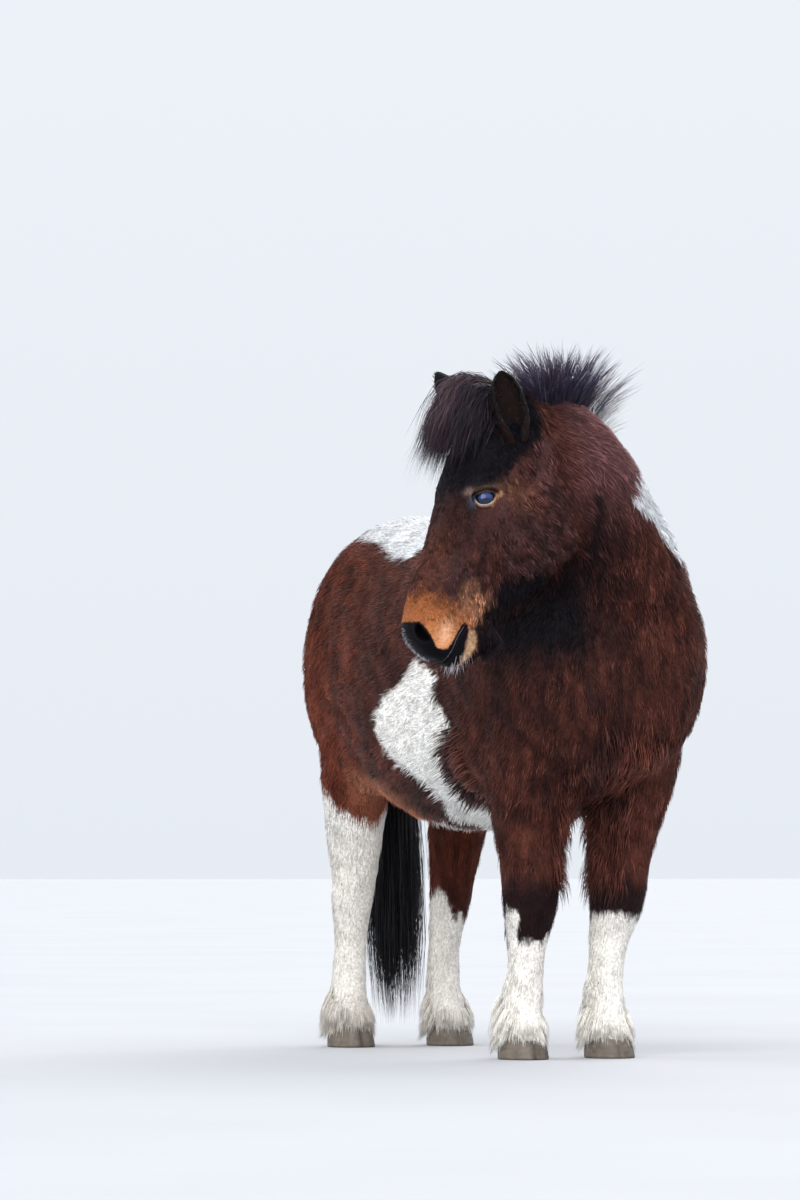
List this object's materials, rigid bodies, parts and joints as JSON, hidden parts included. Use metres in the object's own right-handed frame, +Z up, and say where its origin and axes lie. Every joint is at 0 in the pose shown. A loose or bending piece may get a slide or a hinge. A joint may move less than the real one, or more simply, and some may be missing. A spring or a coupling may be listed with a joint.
{
  "type": "icelandic horse",
  "caption": "Life-size still model of a pinto Icelandic horse in winter coat, standing square with its head turned to its right.",
  "frame": {"origin": "on the floor, under the middle of the horse's box", "axes": "+Z up, -Y the way the body faces, +X the horse's left"},
  "size_m": [0.9076, 1.6992, 1.6887],
  "materials": {
    "brown_coat": "matt winter coat",
    "white_coat": "matt winter coat",
    "black_hair": "coarse hair with a soft sheen",
    "eye": "wet gloss",
    "horn": "worn horn"
  },
  "bodies": {
    "root": {"ear_l": "black_hair", "ear_r": "black_hair", "eye_l": "eye", "eye_r": "eye", "fore_cannon_l": "white_coat", "fore_cannon_r": "white_coat", "fore_hoof_l": "horn", "fore_hoof_r": "horn", "fore_leg_l": "brown_coat", "fore_leg_r": "brown_coat", "head": "brown_coat", "hind_cannon_l": "white_coat", "hind_cannon_r": "white_coat", "hind_hoof_l": "horn", "hind_hoof_r": "horn", "hind_leg_l": "brown_coat", "hind_leg_r": "white_coat", "neck_base": "brown_coat", "neck_top": "brown_coat", "tail": "black_hair", "torso": "brown_coat"}
  },
  "joints": []
}
